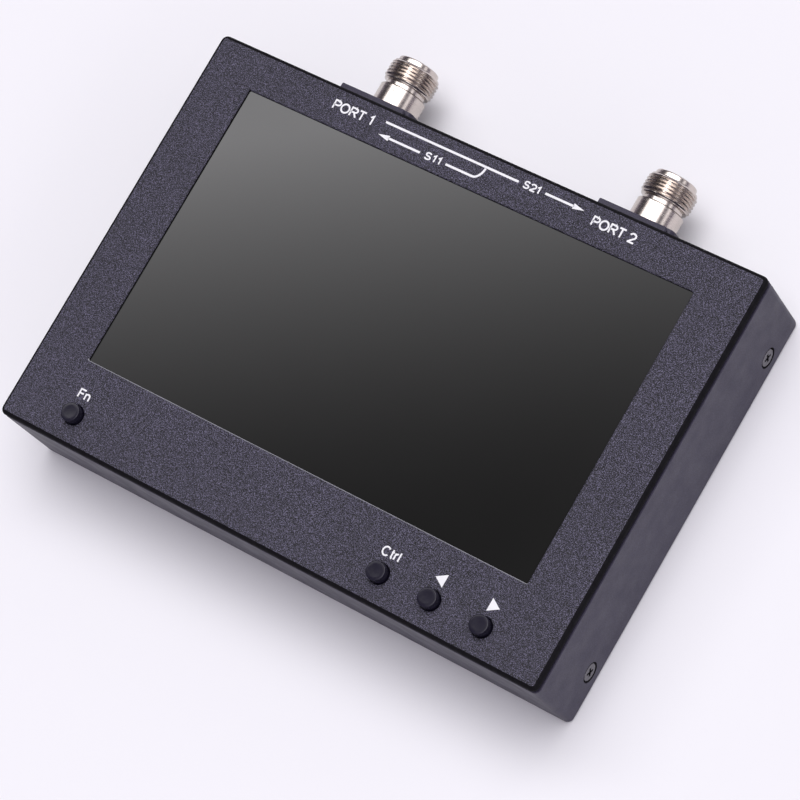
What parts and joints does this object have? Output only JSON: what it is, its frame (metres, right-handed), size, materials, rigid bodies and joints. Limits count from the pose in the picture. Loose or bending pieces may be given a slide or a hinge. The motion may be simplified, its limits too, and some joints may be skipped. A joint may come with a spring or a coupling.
{
  "type": "vector network analyzer",
  "caption": "Flat handheld two-port vector network analyzer with a wide touch screen, round keys along the lower edge and threaded coaxial ports on the top edge.",
  "frame": {"origin": "centre of the whole outline, ports included, on the back face it lies on", "axes": "+Z out of the screen, +Y towards the two ports, +X to the right of the screen"},
  "size_m": [0.19, 0.1492, 0.0375],
  "materials": {
    "front_panel": "fine bead-textured dark grey paint",
    "housing": "smooth matt dark grey paint",
    "screen_glass": "dark glossy cover over a switched-off screen",
    "button": "satin dark grey moulded key",
    "nickel": "bright nickel plate",
    "black_screw": "black oxide",
    "steel": "plain tinned steel",
    "gold": "gold plate",
    "white_plastic": "white dielectric",
    "black_plastic": "black moulded plastic",
    "circuit_board": "green solder mask",
    "flex_film": "amber film",
    "coax_jacket": "tin-soaked braid",
    "battery_wrap": "blue shrink wrap",
    "clear_plastic": "clear light pipe"
  },
  "bodies": {
    "case": {"rear_housing": "housing", "front_panel": "front_panel", "touch_glass": "screen_glass", "lcd_module": "black_plastic", "display_bracket": "steel", "display_flex": "flex_film", "main_board": "circuit_board", "key_board": "circuit_board", "battery_pack": "battery_wrap", "battery_bracket": "steel", "shield_port_1": "steel", "shield_port_2": "steel", "shield_source": "steel", "tact_switch_fn": "black_plastic", "tact_switch_ctrl": "black_plastic", "tact_switch_left": "black_plastic", "tact_switch_right": "black_plastic", "port_1_connector": "nickel", "port_1_insulator": "white_plastic", "port_1_contact": "gold", "port_1_backing_plate": "steel", "port_1_coax": "coax_jacket", "port_1_screw_1": "black_screw", "port_1_screw_2": "black_screw", "port_1_screw_3": "black_screw", "port_1_screw_4": "black_screw", "port_2_connector": "nickel", "port_2_insulator": "white_plastic", "port_2_contact": "gold", "port_2_backing_plate": "steel", "port_2_coax": "coax_jacket", "port_2_screw_1": "black_screw", "port_2_screw_2": "black_screw", "port_2_screw_3": "black_screw", "port_2_screw_4": "black_screw", "side_screw_1": "black_screw", "side_screw_2": "black_screw", "side_screw_3": "black_screw", "side_screw_4": "black_screw", "board_screw_1": "steel", "board_screw_2": "steel", "board_screw_3": "steel", "board_screw_4": "steel", "key_board_screw_1": "steel", "key_board_screw_2": "steel", "usb_c_receptacle": "steel", "power_switch_body": "black_plastic", "charge_led_pipe": "clear_plastic"},
    "key_fn": {"button_fn": "button", "plunger_fn": "white_plastic"},
    "key_ctrl": {"button_ctrl": "button", "plunger_ctrl": "white_plastic"},
    "key_left": {"button_left": "button", "plunger_left": "white_plastic"},
    "key_right": {"button_right": "button", "plunger_right": "white_plastic"},
    "power_slider": {"power_switch_slider": "black_plastic"}
  },
  "joints": [
    {"name": "press_fn", "type": "slide", "parent": "case", "child": "key_fn", "axis": [0, 0, -1], "range_m": [0, 0.0006], "stiffness_N_per_m": 1500, "springref_m": -0.0003},
    {"name": "press_ctrl", "type": "slide", "parent": "case", "child": "key_ctrl", "axis": [0, 0, -1], "range_m": [0, 0.0006], "stiffness_N_per_m": 1500, "springref_m": -0.0003},
    {"name": "press_left", "type": "slide", "parent": "case", "child": "key_left", "axis": [0, 0, -1], "range_m": [0, 0.0006], "stiffness_N_per_m": 1500, "springref_m": -0.0003},
    {"name": "press_right", "type": "slide", "parent": "case", "child": "key_right", "axis": [0, 0, -1], "range_m": [0, 0.0006], "stiffness_N_per_m": 1500, "springref_m": -0.0003},
    {"name": "power_slide", "type": "slide", "parent": "case", "child": "power_slider", "axis": [0, 1, 0], "range_m": [0, 0.002]}
  ]
}
